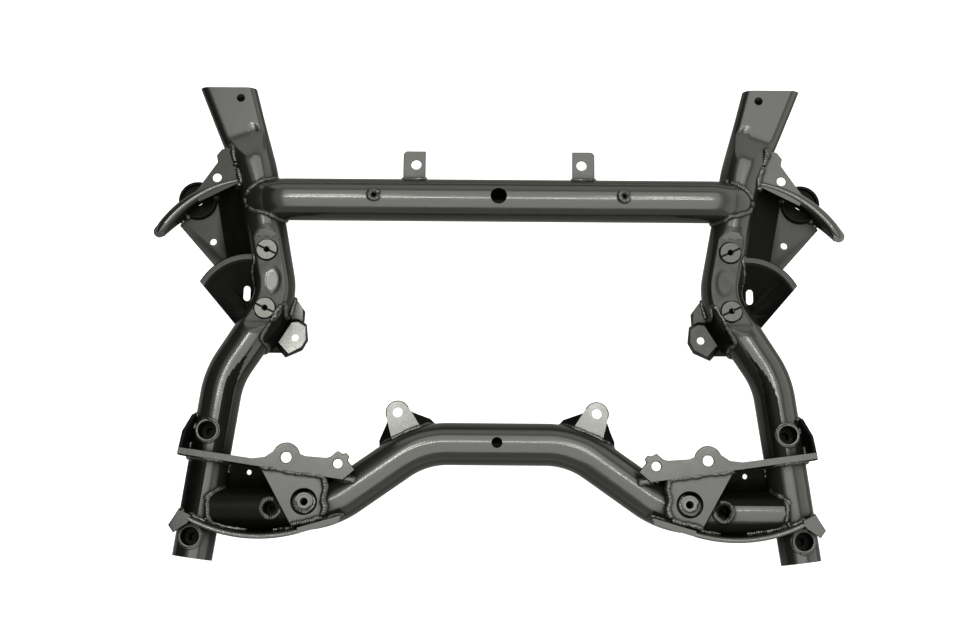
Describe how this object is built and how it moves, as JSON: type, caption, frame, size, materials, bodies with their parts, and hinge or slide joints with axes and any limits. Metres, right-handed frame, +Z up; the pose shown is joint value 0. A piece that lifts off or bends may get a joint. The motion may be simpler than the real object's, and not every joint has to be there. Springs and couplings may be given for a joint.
{
  "type": "front subframe",
  "caption": "Welded tubular steel front subframe with bent side rails, two crossmembers, control arm brackets and pockets, engine mount pads and bolt sleeves.",
  "frame": {"origin": "middle of the part's length and width, on the plane that the rails rest on", "axes": "+X to the right across the car, +Y to the front of the car, +Z up"},
  "size_m": [0.9808, 0.6776, 0.0765],
  "materials": {
    "paint": "satin black paint",
    "bare": "turned steel under a thin coat"
  },
  "bodies": {
    "root": {"left_side_rail": "paint", "right_side_rail": "paint", "front_crossmember": "paint", "rear_crossmember": "paint", "left_arm_bracket": "paint", "right_arm_bracket": "paint", "left_arm_base_plate": "paint", "right_arm_base_plate": "paint", "left_arm_seat": "paint", "right_arm_seat": "paint", "left_arm_cup": "paint", "right_arm_cup": "paint", "left_engine_mount": "paint", "right_engine_mount": "paint", "left_pocket_front_wall": "paint", "right_pocket_front_wall": "paint", "left_pocket_rear_wall": "paint", "right_pocket_rear_wall": "paint", "left_gusset": "paint", "right_gusset": "paint", "left_gusset_insert": "bare", "right_gusset_insert": "bare", "left_upper_sleeve": "paint", "right_upper_sleeve": "paint", "left_lower_sleeve": "paint", "right_lower_sleeve": "paint", "left_cross_sleeve": "paint", "right_cross_sleeve": "paint", "left_front_boss": "bare", "right_front_boss": "bare", "left_rear_boss": "bare", "right_rear_boss": "bare", "left_front_tab": "paint", "right_front_tab": "paint", "left_rear_ear": "paint", "right_rear_ear": "paint", "left_thread_insert": "bare", "right_thread_insert": "bare"}
  },
  "joints": []
}
